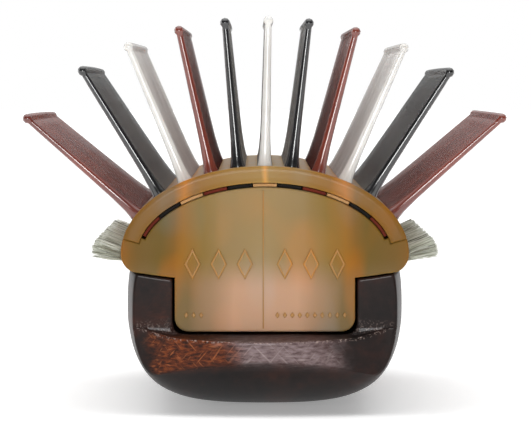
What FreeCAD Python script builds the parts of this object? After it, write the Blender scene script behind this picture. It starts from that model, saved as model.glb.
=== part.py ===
"""A half-round styling hairbrush: a wooden body with a routed channel, and a cushion that pushes into it.

The brush lies on its back with the pins up. X is across it, +Y runs from the nose to the handle's end, and
+Z is up. The origin is on the table, below the middle of the brush. All sizes are millimetres.

The cushion is a core with a tongue, and a skin over its arch. Eleven combs of nylon pins lie side by side
between core and skin, and each can rock a little in its seat. A row of bristle tufts stands along each side.
"""

import FreeCAD
import Part
import math
import os

V = FreeCAD.Vector

# ---- driving dimensions -------------------------------------------------------------------------------
LENGTH = 226.0           # nose to the handle's end
NOSE = -LENGTH / 2       # the Y of the nose's furthest point

SEAT_Z = 21.3            # lowest line of the cushion's underside, above the table
SEAT_RADIUS = 132.0      # the underside is a shallow arc across the brush
SEAT_GAP = 0.2           # between the cushion's underside and the wood

CUSHION_Y = NOSE + 4.0   # front face of the cushion
CUSHION_LENGTH = 96.0
ARCH_A = 23.1            # the cushion's outer arch is half an ellipse: half its width
ARCH_B = 14.1            # and its height above its own centre line
ARCH_Z = SEAT_Z + 4.6    # height of that centre line

SKIN_THICK = 2.7
SLOT_THICK = 0.7         # the space between skin and core, where the combs' strips lie
SKIN_EDGE = 74.0         # where the skin ends: the lean of the arch's normal from upright, in degrees
SLOT_EDGE = 66.0         # where the slot ends
LOBE_RADIUS = 3.16       # the core's rounded lower corners

TONGUE_HALF = 14.45
TONGUE_DEPTH = 7.85
TONGUE_RADIUS = 2.2
RIB_RADIUS = 0.9         # grip ribs along the tongue's sides
RIB_PROUD = 0.35
RIB_SET_BACK = 3.0
CHANNEL_HALF = 14.95
CHANNEL_DEPTH = 8.3
CHANNEL_REAR_GAP = 0.3

ROWS_EACH_SIDE = 5       # and one in the middle
ROW_PITCH = 4.0          # round the arch, at the middle of the slot
STRIP_THICK = 0.5
STRIP_WIDTH = 3.8
STRIP_SET_BACK = 0.4     # strip ends behind the cushion's end faces
PINS = 18
PIN_PITCH = 5.15
PIN_REACH = 23.3         # from the skin's surface to the middle of the ball tip
PIN_ROOT_RADIUS = 1.3
PIN_HOLE_RADIUS = 1.5
BALL_RADIUS = 0.8
# radius of a pin at heights above the skin: it flares out at the root
PIN_TAPER = [(0.0, 1.3), (1.8, 1.04), (4.5, 0.86), (11.0, 0.72), (22.0, 0.585)]

TUFTS = 17               # along each side
TUFT_PITCH = 5.5
TUFT_LEAN = 75.0         # from upright, in degrees
TUFT_EXIT_Z = SEAT_Z + 4.4
TUFT_HOLE_RADIUS = 1.2
TUFT_HOLE_DEPTH = 4.6
TUFT_ROOT_RADIUS = 1.08
TUFT_TIP_RADIUS = 1.9
TUFT_REACH = 5.0
TUFT_DOME = 0.5          # the hairs' ends make a low cone
ANCHOR = (0.4, 2.2, 1.5)  # a flat of wire that holds each tuft: thickness, width, height

# the wooden blank before anything is cut into it: station from the nose, half width, bottom, top
BLANK = [
    (0.0, 20.4, -0.1, 33.0),
    (4.0, 21.2, -0.15, 33.8),
    (10.0, 22.0, -0.15, 34.4),
    (22.0, 22.6, -0.15, 34.8),
    (55.0, 22.9, -0.15, 35.0),
    (84.0, 22.6, -0.1, 34.5),
    (98.0, 21.4, 0.5, 33.2),
    (113.0, 16.8, 2.8, 29.8),
    (132.0, 12.4, 5.0, 26.8),
    (156.0, 12.0, 4.8, 25.6),
    (182.0, 14.0, 1.8, 25.8),
    (202.0, 14.6, -0.12, 25.2),
]
SECTIONS = 32            # along the blank
DOME_STEP = 14           # degrees between sections of the handle's rounded end
HEAD_POWER = 2.6         # section of the head: a superellipse, squarer than an ellipse
HANDLE_POWER = 2.15      # and rounder at the handle
POWER_CHANGE = (92.0, 138.0)
SECTION_POINTS = 28
NOSE_RADIUS = 47.0       # the nose is convex, seen from above
HORN_STATION = 4.2       # flat faces beside the channel's mouth, just behind the cushion's own face
LEDGE_DROP = 1.15        # the nose's top slopes down from the channel's floor to its front edge
LEDGE_SIDE_SLOPE = 0.2   # and rises towards the sides
BOW_END = 28.0           # the underside rises from here to the nose
BOW_RISE = 8.7


# ---- the arch ---------------------------------------------------------------------------------------
def arch(lean, depth, y=0.0):
    """The point at a depth below the outer arch where its outward normal leans this many degrees."""
    a = math.radians(lean)
    t = math.atan2(ARCH_A * math.sin(a), ARCH_B * math.cos(a))
    x = ARCH_A * math.sin(t) - depth * math.sin(a)
    z = ARCH_Z + ARCH_B * math.cos(t) - depth * math.cos(a)
    return V(x, y, z)


def arch_edge(start, end, depth, y):
    """A smooth edge along the arch at one depth, between two leans."""
    count = max(3, int(abs(end - start) / 6) + 1)
    curve = Part.BSplineCurve()
    curve.interpolate([arch(start + (end - start) * k / (count - 1), depth, y) for k in range(count)])
    return curve.toShape()


def lean_at(distance):
    """The lean of the normal at a distance round the arch from its crown, measured along the slot's middle."""
    middle = SKIN_THICK + SLOT_THICK / 2
    step = 0.05
    lean = 0.0
    walked = 0.0
    while walked < abs(distance):
        walked += (arch(lean + step, middle) - arch(lean, middle)).Length
        lean += step
    return math.copysign(lean, distance)


def line(a, b):
    return Part.LineSegment(a, b).toShape()


def arc(a, b, c):
    return Part.Arc(a, b, c).toShape()


def prism(edges, length):
    """The solid swept along +Y by the face inside a closed loop of edges."""
    wire = Part.Wire(Part.__sortEdges__(edges))
    return Part.Face(wire).extrude(V(0, length, 0))


def underside(x):
    """Height of the cushion's underside, a shallow arc across the brush."""
    return SEAT_Z + SEAT_RADIUS - math.sqrt(SEAT_RADIUS**2 - x**2)


def mirrored(shape):
    return shape.mirror(V(0, 0, 0), V(1, 0, 0))


def places(count, pitch):
    """Evenly spaced Y positions, centred on the cushion's length."""
    first = CUSHION_Y + (CUSHION_LENGTH - (count - 1) * pitch) / 2
    return [first + k * pitch for k in range(count)]


# ---- the cushion ------------------------------------------------------------------------------------
def core():
    """The D-shaped core: shoulders for the skin, a slot floor, rounded lobes, and the tongue below."""
    y = CUSHION_Y
    shoulder_in = arch(SKIN_EDGE, SKIN_THICK, y)
    shoulder_out = arch(SKIN_EDGE, 0, y)
    widest = arch(90, 0, y)
    slope = math.asin((ARCH_A - LOBE_RADIUS) / SEAT_RADIUS)
    middle = V(ARCH_A - LOBE_RADIUS, y, ARCH_Z)
    lobe_end = middle + V(LOBE_RADIUS * math.sin(slope), 0, -LOBE_RADIUS * math.cos(slope))
    halfway = math.radians(45) + slope / 2
    lobe_mid = middle + V(LOBE_RADIUS * math.sin(halfway), 0, -LOBE_RADIUS * math.cos(halfway))
    root = V(TONGUE_HALF, y, underside(TONGUE_HALF))
    between = (lobe_end.x + TONGUE_HALF) / 2
    bottom = SEAT_Z - TONGUE_DEPTH
    corner = V(TONGUE_HALF - TONGUE_RADIUS, y, bottom + TONGUE_RADIUS)
    half = math.sqrt(0.5) * TONGUE_RADIUS
    right = [
        line(arch(SLOT_EDGE, SKIN_THICK + SLOT_THICK, y), arch(SLOT_EDGE, SKIN_THICK, y)),
        arch_edge(SLOT_EDGE, SKIN_EDGE, SKIN_THICK, y),
        line(shoulder_in, shoulder_out),
        arch_edge(SKIN_EDGE, 90, 0, y),
        arc(widest, lobe_mid, lobe_end),
        arc(lobe_end, V(between, y, underside(between)), root),
        line(root, corner + V(TONGUE_RADIUS, 0, 0)),
        arc(corner + V(TONGUE_RADIUS, 0, 0), corner + V(half, 0, -half), corner - V(0, 0, TONGUE_RADIUS)),
    ]
    floor = arch_edge(-SLOT_EDGE, SLOT_EDGE, SKIN_THICK + SLOT_THICK, y)
    base = line(corner - V(0, 0, TONGUE_RADIUS), V(-corner.x, y, bottom))
    solid = prism(right + [mirrored(e) for e in right] + [floor, base], CUSHION_LENGTH)
    rib = Part.makeCylinder(
        RIB_RADIUS,
        CUSHION_LENGTH - 2 * RIB_SET_BACK,
        V(TONGUE_HALF + RIB_PROUD - RIB_RADIUS, y + RIB_SET_BACK, SEAT_Z - TONGUE_DEPTH / 2),
        V(0, 1, 0),
    )
    solid = solid.fuse([rib, mirrored(rib)])
    holes = [tuft_hole(yy) for yy in places(TUFTS, TUFT_PITCH)]
    return solid.cut(holes + [mirrored(h) for h in holes])


def skin():
    """The arched skin, with a round hole for every pin."""
    y = CUSHION_Y
    edges = [
        arch_edge(-SKIN_EDGE, SKIN_EDGE, 0, y),
        line(arch(SKIN_EDGE, 0, y), arch(SKIN_EDGE, SKIN_THICK, y)),
        arch_edge(-SKIN_EDGE, SKIN_EDGE, SKIN_THICK, y),
        line(arch(-SKIN_EDGE, 0, y), arch(-SKIN_EDGE, SKIN_THICK, y)),
    ]
    solid = prism(edges, CUSHION_LENGTH)
    holes = []
    for row in row_numbers():
        lean = lean_at(row * ROW_PITCH)
        outward = V(math.sin(math.radians(lean)), 0, math.cos(math.radians(lean)))
        for yy in places(PINS, PIN_PITCH):
            start = arch(lean, SKIN_THICK + 1.0, yy)
            holes.append(Part.makeCylinder(PIN_HOLE_RADIUS, SKIN_THICK + 3.0, start, outward))
    return solid.cut(holes)


# ---- the pins ---------------------------------------------------------------------------------------
def row_numbers():
    return range(-ROWS_EACH_SIDE, ROWS_EACH_SIDE + 1)


def pin():
    """One pin, standing along +Z with the skin's surface at Z 0: a flared root, a taper and a ball tip."""
    root = -(SKIN_THICK + SLOT_THICK / 2)
    taper = Part.BSplineCurve()
    neck = math.sqrt(BALL_RADIUS**2 - PIN_TAPER[-1][1] ** 2)
    points = [V(r, 0, h) for h, r in PIN_TAPER[:-1]] + [V(PIN_TAPER[-1][1], 0, PIN_REACH - neck)]
    taper.interpolate(points)
    top = V(0, 0, PIN_REACH + BALL_RADIUS)
    side = V(BALL_RADIUS, 0, PIN_REACH)
    edges = [
        line(V(0, 0, root), V(PIN_ROOT_RADIUS, 0, root)),
        line(V(PIN_ROOT_RADIUS, 0, root), points[0]),
        taper.toShape(),
        arc(points[-1], side, top),
        line(top, V(0, 0, root)),
    ]
    face = Part.Face(Part.Wire(Part.__sortEdges__(edges)))
    return face.revolve(V(0, 0, 0), V(0, 0, 1), 360)


def pin_row(row):
    """A comb: a thin strip that follows the arch, with its pins standing on it."""
    distance = row * ROW_PITCH
    low = lean_at(distance - STRIP_WIDTH / 2)
    high = lean_at(distance + STRIP_WIDTH / 2)
    y = CUSHION_Y + STRIP_SET_BACK
    upper = SKIN_THICK + (SLOT_THICK - STRIP_THICK) / 2
    lower = upper + STRIP_THICK
    strip = prism(
        [
            arch_edge(low, high, upper, y),
            line(arch(high, upper, y), arch(high, lower, y)),
            arch_edge(low, high, lower, y),
            line(arch(low, lower, y), arch(low, upper, y)),
        ],
        CUSHION_LENGTH - 2 * STRIP_SET_BACK,
    )
    lean = lean_at(distance)
    pins = []
    for yy in places(PINS, PIN_PITCH):
        one = pin()
        one.rotate(V(0, 0, 0), V(0, 1, 0), lean)
        one.translate(arch(lean, 0, yy))
        pins.append(one)
    return strip.fuse(pins)


# ---- the bristle tufts --------------------------------------------------------------------------------
def placed_on_right(shape, y):
    """Move a shape made along +Z, with Z 0 at the core's surface, to a tuft's place on the right side."""
    rise = (TUFT_EXIT_Z - ARCH_Z) / ARCH_B
    shape.rotate(V(0, 0, 0), V(0, 1, 0), TUFT_LEAN)
    shape.translate(V(ARCH_A * math.sqrt(1 - rise**2), y, TUFT_EXIT_Z))
    return shape


def tuft_hole(y):
    beyond = 2.0
    shaft = Part.makeCylinder(TUFT_HOLE_RADIUS, TUFT_HOLE_DEPTH + beyond, V(0, 0, -TUFT_HOLE_DEPTH))
    return placed_on_right(shaft, y)


def tuft(y):
    """The outer shape of one tuft: a round root in its hole, and hairs that spread out of it."""
    bottom = -(TUFT_HOLE_DEPTH - 0.1)
    shoulder = TUFT_REACH - TUFT_DOME
    corners = [
        V(0, 0, bottom),
        V(TUFT_ROOT_RADIUS, 0, bottom),
        V(TUFT_ROOT_RADIUS, 0, 0),
        V(TUFT_TIP_RADIUS, 0, shoulder),
        V(0, 0, TUFT_REACH),
        V(0, 0, bottom),
    ]
    solid = Part.Face(Part.makePolygon(corners)).revolve(V(0, 0, 0), V(0, 0, 1), 360)
    return placed_on_right(solid, y).cut(anchor(y))


def anchor(y):
    """The flat of wire across a tuft's root that holds it at the bottom of its hole."""
    thick, width, height = ANCHOR
    corner = V(-thick / 2, -width / 2, -(TUFT_HOLE_DEPTH - 0.1))
    return placed_on_right(Part.makeBox(thick, width, height, corner), y)


# ---- the wooden body ----------------------------------------------------------------------------------
def section(station, half, bottom, top):
    """One section of the blank: a superellipse that turns from squarer at the head to rounder at the handle."""
    start, end = POWER_CHANGE
    share = min(1.0, max(0.0, (station - start) / (end - start)))
    power = HEAD_POWER + (HANDLE_POWER - HEAD_POWER) * share
    middle = (bottom + top) / 2
    tall = (top - bottom) / 2
    points = []
    for k in range(SECTION_POINTS):
        turn = 2 * math.pi * (k + 0.5) / SECTION_POINTS
        c, s = math.cos(turn), math.sin(turn)
        x = half * math.copysign(abs(c) ** (2 / power), c)
        z = middle + tall * math.copysign(abs(s) ** (2 / power), s)
        points.append(V(x, NOSE + station, z))
    curve = Part.BSplineCurve()
    curve.interpolate(points, PeriodicFlag=True)
    return Part.Wire(curve.toShape())


def smooth_row(station):
    """Half width, bottom and top of the blank at a station: cubic Hermite curves through the listed rows."""
    last = len(BLANK) - 1
    k = max(i for i in range(last) if BLANK[i][0] <= station)
    span = BLANK[k + 1][0] - BLANK[k][0]
    t = (station - BLANK[k][0]) / span
    values = []
    for column in (1, 2, 3):
        def slope(i):
            low, high = max(i - 1, 0), min(i + 1, last)
            return (BLANK[high][column] - BLANK[low][column]) / (BLANK[high][0] - BLANK[low][0])
        values.append(
            (2 * t**3 - 3 * t**2 + 1) * BLANK[k][column]
            + (t**3 - 2 * t**2 + t) * span * slope(k)
            + (3 * t**2 - 2 * t**3) * BLANK[k + 1][column]
            + (t**3 - t**2) * span * slope(k + 1)
        )
    return values


def blank_rows():
    """The blank's sections at even steps, and the dome that closes the handle's end."""
    start, half, bottom, top = BLANK[-1]
    rows = [(start * k / SECTIONS, *smooth_row(start * k / SECTIONS)) for k in range(SECTIONS)]
    middle = (bottom + top) / 2
    for angle in range(0, 90, DOME_STEP):
        a = math.radians(angle)
        shrink = math.cos(a)
        low = middle + (bottom - middle) * shrink
        high = middle + (top - middle) * shrink
        rows.append((start + (LENGTH - start) * math.sin(a), half * shrink, low, high))
    return rows


def wooden_body():
    """One shaped and sanded piece: the blank, less the seat, the channel, and what shapes the nose."""
    wide = 40.0
    tall = 80.0
    front = NOSE - 6.0
    rear = CUSHION_Y + CUSHION_LENGTH + CHANNEL_REAR_GAP
    floor = SEAT_Z - CHANNEL_DEPTH
    blank = Part.makeLoft([section(*row) for row in blank_rows()], True, False)
    below = Part.makeBox(2 * wide, LENGTH + 20, 10, V(-wide, NOSE - 10, -10))

    edge = underside(wide) - SEAT_GAP
    seat = prism(
        [
            arc(V(-wide, front, edge), V(0, front, SEAT_Z - SEAT_GAP), V(wide, front, edge)),
            line(V(wide, front, edge), V(wide, front, tall)),
            line(V(wide, front, tall), V(-wide, front, tall)),
            line(V(-wide, front, tall), V(-wide, front, edge)),
        ],
        rear - front,
    )
    channel = Part.makeBox(2 * CHANNEL_HALF, rear - front, 20, V(-CHANNEL_HALF, front, floor))

    # the ledge on top of the nose, in front of the horns
    side = floor + (wide - CHANNEL_HALF) * LEDGE_SIDE_SLOPE
    outline = [(-wide, side), (-CHANNEL_HALF, floor), (CHANNEL_HALF, floor), (wide, side), (wide, tall), (-wide, tall)]
    points = [V(x, NOSE + HORN_STATION, z) for x, z in outline]
    ledge_face = Part.Face(Part.makePolygon(points + points[:1]))
    ledge = ledge_face.extrude(V(0, -HORN_STATION, -LEDGE_DROP) * 2)

    # the nose's convex front, and the underside bowed up to it
    bulge = Part.makeCylinder(NOSE_RADIUS, tall, V(0, NOSE + NOSE_RADIUS, -10))
    corners = Part.makeBox(2 * wide, 30, tall, V(-wide, NOSE - 10, -10)).cut(bulge)
    bow_radius = (BOW_END**2 + BOW_RISE**2) / (2 * BOW_RISE)
    barrel = Part.makeCylinder(bow_radius, 2 * wide, V(-wide, NOSE + BOW_END, bow_radius), V(1, 0, 0))
    bow = Part.makeBox(2 * wide, BOW_END + 6, 14, V(-wide, NOSE - 6, -1)).cut(barrel)
    return blank.cut([below, seat, channel, ledge, corners, bow])


# ---- write the parts ----------------------------------------------------------------------------------
def save(name, shape):
    if shape.ShapeType == "Compound" and len(shape.Solids) == 1:
        shape = shape.Solids[0]
    ok = all(s.isValid() and s.isClosed() for s in shape.Solids)
    print(f"{name}: {len(shape.Solids)} solids, {shape.Volume:.1f} mm3, valid {ok}")
    shape.exportStep(f"parts/{name}.step")


os.makedirs("parts", exist_ok=True)
save("wooden_body", wooden_body())
save("cushion_core", core())
save("cushion_skin", skin())
for number, row in enumerate(row_numbers(), start=1):
    save(f"pin_row_{number:02d}", pin_row(row))
for number, y in enumerate(places(TUFTS, TUFT_PITCH), start=1):
    save(f"tuft_right_{number:02d}", tuft(y))
    save(f"tuft_left_{number:02d}", mirrored(tuft(y)))
anchors = [anchor(y) for y in places(TUFTS, TUFT_PITCH)]
save("tuft_anchors", Part.makeCompound(anchors + [mirrored(a) for a in anchors]))
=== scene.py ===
# %% [markdown]
# # A half-round styling hairbrush
#
# A dark wooden brush with a see-through amber cushion that pushes into a channel along its head. Eleven
# nylon combs fan out of the cushion, and a row of pale bristle tufts runs along each side. Everything here
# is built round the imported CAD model: it gives the places and sizes, and this script gives the looks.

# %% Load the frame
import math
import bmesh
import bpy
import numpy as np
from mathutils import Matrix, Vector


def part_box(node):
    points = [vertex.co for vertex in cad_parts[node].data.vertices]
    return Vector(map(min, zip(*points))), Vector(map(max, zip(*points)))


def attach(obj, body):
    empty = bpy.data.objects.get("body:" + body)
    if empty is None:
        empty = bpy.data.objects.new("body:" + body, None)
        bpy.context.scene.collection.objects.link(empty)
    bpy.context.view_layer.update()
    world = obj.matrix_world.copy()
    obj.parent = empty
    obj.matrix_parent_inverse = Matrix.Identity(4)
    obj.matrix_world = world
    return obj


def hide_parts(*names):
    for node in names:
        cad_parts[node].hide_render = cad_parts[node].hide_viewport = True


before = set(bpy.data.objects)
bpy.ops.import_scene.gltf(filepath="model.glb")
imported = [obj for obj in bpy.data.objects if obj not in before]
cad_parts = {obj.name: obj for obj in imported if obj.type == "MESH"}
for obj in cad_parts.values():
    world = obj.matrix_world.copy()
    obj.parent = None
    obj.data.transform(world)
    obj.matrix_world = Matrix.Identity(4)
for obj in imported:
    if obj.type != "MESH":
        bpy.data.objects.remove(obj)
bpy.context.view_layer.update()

# %% [markdown]
# ## Sizes
#
# All the shapes below are worked out in millimetres and turned to metres once, as each mesh is made. The
# boxes of the CAD nodes say where the cushion starts and how wide and tall it is, and the rest is measured
# from there.

# %% Sizes from the CAD nodes
MM = 0.001


def box_mm(node):
    low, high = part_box(node)
    return np.array(low) / MM, np.array(high) / MM


core_low, core_high = box_mm("cushion_core")
skin_high = box_mm("cushion_skin")[1]
wood_low, wood_high = box_mm("wooden_body")
ARCH_A = core_high[0]                 # half the cushion's width
ARCH_B = 14.1                         # rise of the arch above its widest line
ARCH_Z = skin_high[2] - ARCH_B
TONGUE_DEPTH = 7.85
SEAT_Z = core_low[2] + TONGUE_DEPTH   # lowest line of the cushion's underside
FRONT = core_low[1]                   # the cushion's front face
CUSHION_LENGTH = core_high[1] - core_low[1]
SKIN_THICK = 2.7
SLOT_THICK = 0.7
print(f"the cushion is {2 * ARCH_A:.1f} wide and {CUSHION_LENGTH:.1f} long")
print(f"its face is at Y {FRONT:.1f} and its seat at Z {SEAT_Z:.2f}")

# %% [markdown]
# ## Two helpers for meshes
#
# A surface is a grid of points, so most pieces need only the grid's points and the list of four-cornered
# faces between them. The faces' direction is settled at the end: doubles at the poles are merged first, and
# then the normals of the closed shape are turned outwards.

# %% Mesh helpers
def grid_faces(rows, columns, closed_columns=False, start=0):
    """Faces of a grid whose point (i, j) has the number start + i * columns + j."""
    i, j = np.meshgrid(np.arange(rows - 1), np.arange(columns - (0 if closed_columns else 1)), indexing="ij")
    k = (j + 1) % columns
    corners = [i * columns + j, i * columns + k, (i + 1) * columns + k, (i + 1) * columns + j]
    return np.stack(corners, axis=-1).reshape(-1, 4) + start


def add_piece(name, points, faces, body, material, merge=0.002, attributes=None):
    """Makes an object from points in millimetres, merges its doubles and turns its faces outwards.

    An attribute is one number for each point, which a material can read by its name.
    """
    mesh = bpy.data.meshes.new(name)
    mesh.from_pydata((np.asarray(points).reshape(-1, 3) * MM).tolist(), [], [list(f) for f in faces])
    for key, values in (attributes or {}).items():
        layer = mesh.attributes.new(key, "FLOAT", "POINT")
        layer.data.foreach_set("value", np.asarray(values, dtype=np.float32).ravel())
    work = bmesh.new()
    work.from_mesh(mesh)
    bmesh.ops.remove_doubles(work, verts=work.verts, dist=merge * MM)
    bmesh.ops.recalc_face_normals(work, faces=work.faces)
    work.to_mesh(mesh)
    work.free()
    mesh.shade_smooth()
    mesh.materials.append(material)
    piece = bpy.data.objects.new(name, mesh)
    bpy.context.scene.collection.objects.link(piece)
    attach(piece, body)
    print(f"{name}: {len(mesh.vertices)} points, {len(mesh.polygons)} faces")
    return piece


# %% [markdown]
# ## Helpers for materials
#
# Colours are written as the sRGB hex values that a paint chart would give, and one function turns them to
# the linear values that shaders work in. One function adds a node, with its settings and links, and a
# smaller one sets and links a node that is there already, such as the shader itself.

# %% Material helpers
def colour(hex_value):
    """sRGB hex, such as '#c8a060', to linear red, green, blue and alpha."""
    srgb = np.array([int(hex_value[k:k + 2], 16) for k in (1, 3, 5)]) / 255
    linear = np.where(srgb <= 0.04045, srgb / 12.92, ((srgb + 0.055) / 1.055) ** 2.4)
    return (*linear.tolist(), 1.0)


def new_material(name):
    """An empty material with a Principled shader: returns the material, its node tree and the shader."""
    material = bpy.data.materials.new(name)
    material.use_nodes = True
    tree = material.node_tree
    print("material:", name)
    return material, tree, tree.nodes["Principled BSDF"]


def wire(tree, made, inputs, links):
    """Sets a node's socket values, and links the sockets that other nodes drive.

    A source is a socket, or a node that gives its first output in use.
    """
    for key, value in inputs.items():
        made.inputs[key].default_value = value
    for key, source in links.items():
        if isinstance(source, bpy.types.Node):
            source = next(socket for socket in source.outputs if socket.enabled)
        tree.links.new(source, made.inputs[key])


def node(tree, kind, settings=None, inputs=None, links=None, stops=()):
    """Adds a node. Its kind is Blender's name for it after 'ShaderNode', and its settings are properties.

    A colour ramp's stops are pairs of a place and a hex colour.
    """
    made = tree.nodes.new("ShaderNode" + kind)
    for key, value in (settings or {}).items():
        setattr(made, key, value)
    wire(tree, made, inputs or {}, links or {})
    for number, (place, hex_value) in enumerate(stops):
        elements = made.color_ramp.elements
        element = elements[number] if number < 2 else elements.new(place)
        element.position = place
        element.color = colour(hex_value)
    return made


# %% [markdown]
# ## The arch
#
# Skin, core and pins all follow one curve: half an ellipse. A pin stands square to it, so the useful way to
# name a place on it is by the lean of its normal from upright. For an ellipse x = a sin t, z = b cos t the
# normal leans by L where tan L = (b / a) tan t, read the right way round here.

# %% The arch as a function of lean and depth
def arch(lean, depth):
    """X and Z of the point this deep under the arch, where its normal leans by these degrees."""
    turn = np.radians(lean)
    t = np.arctan2(ARCH_A * np.sin(turn), ARCH_B * np.cos(turn))
    x = ARCH_A * np.sin(t) - depth * np.sin(turn)
    z = ARCH_Z + ARCH_B * np.cos(t) - depth * np.cos(turn)
    return np.stack(np.broadcast_arrays(x, z), axis=-1)


def lean_at(distance, depth=SKIN_THICK + SLOT_THICK / 2):
    """The lean at a distance round the arch from its crown.

    The length is summed along the curve in steps of a twentieth of a degree, and read the other way round.
    """
    leans = np.linspace(-89.5, 89.5, 3581)
    steps = np.linalg.norm(np.diff(arch(leans, depth), axis=0), axis=1)
    walked = np.concatenate([[0.0], np.cumsum(steps)])
    return np.interp(distance, walked - np.interp(0.0, leans, walked), leans)


ROWS = 11
HALF_ROWS = ROWS // 2                 # combs on each side of the middle one
ROW_PITCH = 4.0
row_leans = lean_at(np.arange(-HALF_ROWS, HALF_ROWS + 1) * ROW_PITCH)
print("rows lean by", np.round(row_leans, 1))

# %% [markdown]
# ## Nylon
#
# The combs are injection-moulded nylon, a hard plastic with an IOR of 1.53. Polished moulds leave a gloss,
# so the pins carry long thin highlights, and the moulding's slow cooling leaves a faint waviness that breaks
# them up. The colours are moulded in: a brick red, a deep black and a milky white. Pictures could be wrapped
# round the pins, but patterns worked out in space need no picture and fit every comb alike.

# %% Nylon materials
NYLON_ROUGHNESS = 0.22


def nylon(name, light, dark, glow=0.0):
    """Moulded nylon in one colour, with slow drifts of shade and a faint flow texture."""
    material, tree, shader = new_material(name)
    place = node(tree, "TexCoord").outputs["Object"]
    # one drift of shade every 9 mm or so, and ripples some 3 mm long
    drift = node(tree, "TexNoise", inputs={"Scale": 1 / (9 * MM), "Detail": 2.0}, links={"Vector": place})
    flow = node(tree, "TexNoise", inputs={"Scale": 1 / (3 * MM), "Detail": 1.0}, links={"Vector": place})
    tint = node(tree, "ValToRGB", links={"Fac": drift}, stops=[(0.35, dark), (0.65, light)])
    # the strip is seen through the amber round it, which stains it
    # painted shade and amber light: the strip lies in shade in its slot behind the amber, so its colour is
    # multiplied darker and amber there
    hidden = node(tree, "Attribute", {"attribute_name": "hidden"}).outputs["Fac"]
    tinted = node(tree, "Mix", {"data_type": "RGBA", "blend_type": "MULTIPLY"}, {"B": colour("#e0b078")},
                   {"Factor": hidden, "A": tint})
    bump = node(tree, "Bump", inputs={"Strength": 0.1, "Distance": 0.02 * MM}, links={"Height": flow})
    # the polished skin of the moulding is a coat; no gloss reaches the eye from the hidden strip
    matt = node(tree, "MapRange", inputs={"To Min": NYLON_ROUGHNESS, "To Max": 1.0}, links={"Value": hidden})
    polish = node(tree, "MapRange", inputs={"To Min": 1.0, "To Max": 0.0}, links={"Value": hidden})
    wire(tree, shader, {
        "IOR": 1.53, "Coat Roughness": 0.13, "Subsurface Weight": glow,
        "Subsurface Radius": (1.0, 0.9, 0.8), "Subsurface Scale": 0.6 * MM,
    }, {"Base Color": tinted, "Roughness": matt, "Coat Weight": polish, "Normal": bump})
    return material


NYLONS = {
    "red": nylon("Red moulded nylon", "#803828", "#682a20"),
    "black": nylon("Black moulded nylon", "#151517", "#0c0c0d"),
    "white": nylon("Milky moulded nylon", "#ebe9e5", "#dbd8d3", glow=0.3),
}
ROW_COLOURS = ["red", "black", "white", "red", "black", "white", "black", "red", "white", "black", "red"]

# %% [markdown]
# ## The combs of pins
#
# Each comb is one moulding: a thin strip, curved like the slot that it lies in, with 18 pins standing on it.
# A pin flares out at its root for strength, tapers as it rises, and ends in a ball that is kind to the
# scalp. One profile turned about the pin's line gives the shape, and whole arrays of it give a row. A pin is
# repeated nearly two hundred times, so it has 12 sides and only as many rings as its curve needs.

# %% One comb
PINS = 18
PIN_PITCH = 5.15
FIRST_PIN = FRONT + (CUSHION_LENGTH - (PINS - 1) * PIN_PITCH) / 2
PIN_SIDES = 12
PIN_REACH = 23.3
BALL_RADIUS = 0.8
STRIP_THICK = 0.5
STRIP_WIDTH = 3.8
STRIP_SET_BACK = 0.4
STRIP_EDGE = 0.12                     # radius of the rounding at the strip's ends
ROOT = -(SKIN_THICK + SLOT_THICK / 2)
# Moulded combs never stand quite true. For each comb: degrees off square at its front pin and its rear pin.
STANDS_OFF = [
    (1.4, 0.1), (1.3, 0.0), (-0.5, -0.6), (1.1, 0.9), (1.6, 1.2), (1.4, 1.2),
    (0.1, 0.4), (1.0, 1.2), (1.7, 2.2), (-0.2, 0.8), (-1.6, -1.0),
]
# height above the skin and radius, from the hidden root to the ball's pole
ball_turns = np.radians([-50, -15, 20, 55, 90])
PIN_PROFILE = np.array(
    [(ROOT, 0.0), (ROOT, 1.3), (0.0, 1.25), (0.7, 1.1), (1.8, 0.96), (4.5, 0.79), (11.0, 0.68), (22.2, 0.54)]
    + [(PIN_REACH + BALL_RADIUS * math.sin(a), BALL_RADIUS * math.cos(a)) for a in ball_turns]
)


def pin_points(lean, stands):
    """Points of every pin in a row, ring by ring.

    Each ring is a circle square to its pin: base + n h + r (cos u e1 + sin u e2).
    """
    turn = np.radians(stands)[:, None]
    out = np.concatenate([np.sin(turn), 0 * turn, np.cos(turn)], axis=1)
    across = np.concatenate([np.cos(turn), 0 * turn, -np.sin(turn)], axis=1)
    along = np.array([0.0, 1.0, 0.0])
    x, z = arch(lean, 0.0)
    bases = np.stack([np.full(PINS, x), FIRST_PIN + np.arange(PINS) * PIN_PITCH, np.full(PINS, z)], axis=-1)
    u = np.linspace(0, 2 * math.pi, PIN_SIDES, endpoint=False)[:, None]
    circle = np.cos(u) * across[:, None, None, :] + np.sin(u) * along
    heights, radii = PIN_PROFILE.T[:, None, :, None, None]
    return bases[:, None, None, :] + heights * out[:, None, None, :] + radii * circle


CAP_INSET = 1.3                       # how far in the cap's own ring lies, in radii of the rounding
SHARPEST = 0.4                        # keeps a sharp corner's bisector from growing too long


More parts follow.
